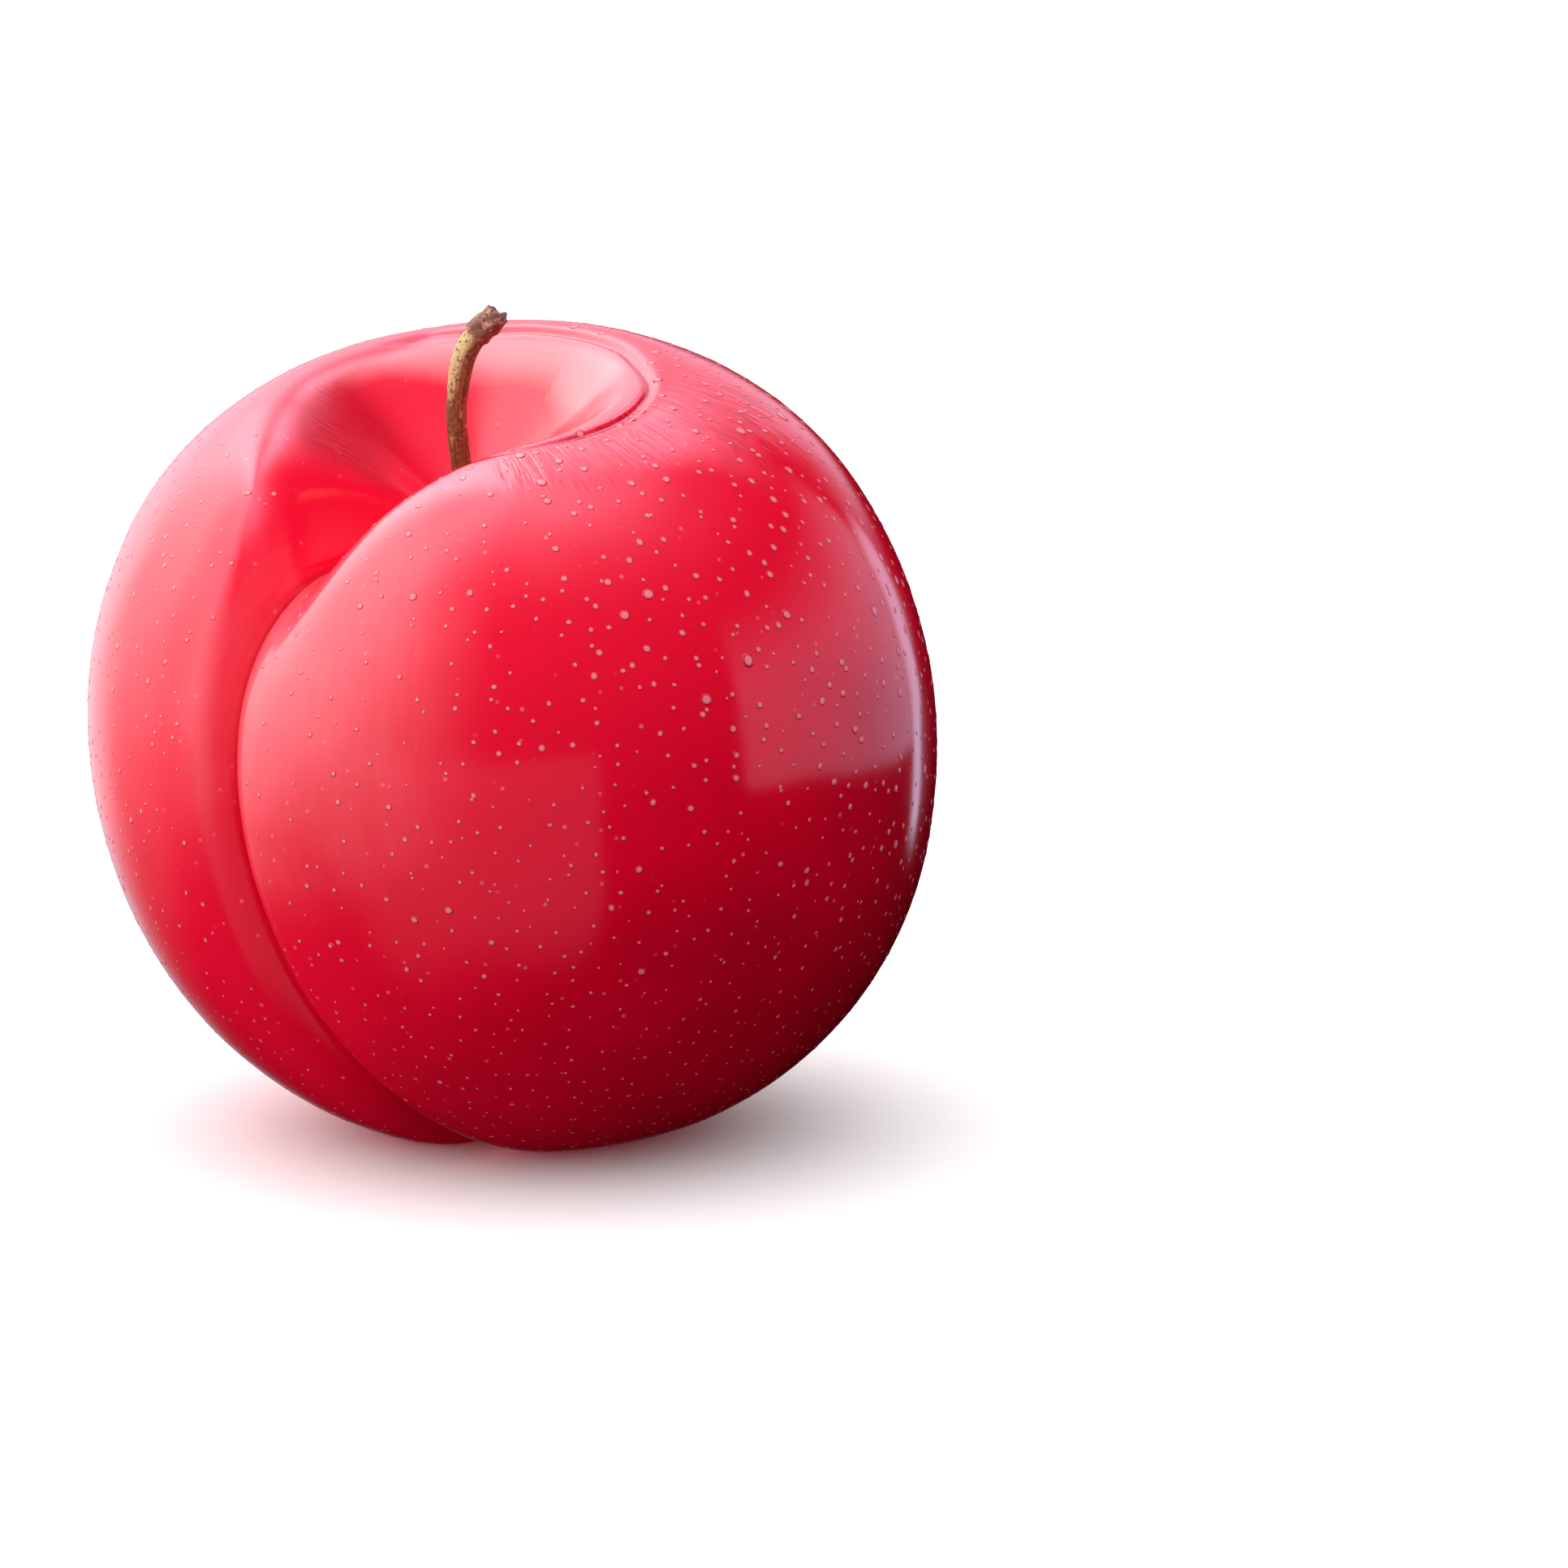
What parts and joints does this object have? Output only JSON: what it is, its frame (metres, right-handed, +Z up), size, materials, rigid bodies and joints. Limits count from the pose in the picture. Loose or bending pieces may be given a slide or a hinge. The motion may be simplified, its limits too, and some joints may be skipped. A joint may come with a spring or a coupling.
{
  "type": "plum",
  "caption": "Whole ripe plum: a round two-lobed fruit with a deep cleft, a bowl-shaped stem cavity and a short bent stem.",
  "frame": {"origin": "on the surface the plum rests on, at the flat spot under its left lobe and close under its centre of weight", "axes": "+Z up from the resting surface; -Y towards the viewer, with the cleft facing front left between -Y and -X; +X to the right"},
  "size_m": [0.0574, 0.0571, 0.0564],
  "materials": {
    "skin": "glossy red skin with a pale bloom and small pale dots",
    "stem_bark": "rough brown bark"
  },
  "bodies": {
    "root": {"fruit": "skin", "stem": "stem_bark"}
  },
  "joints": []
}
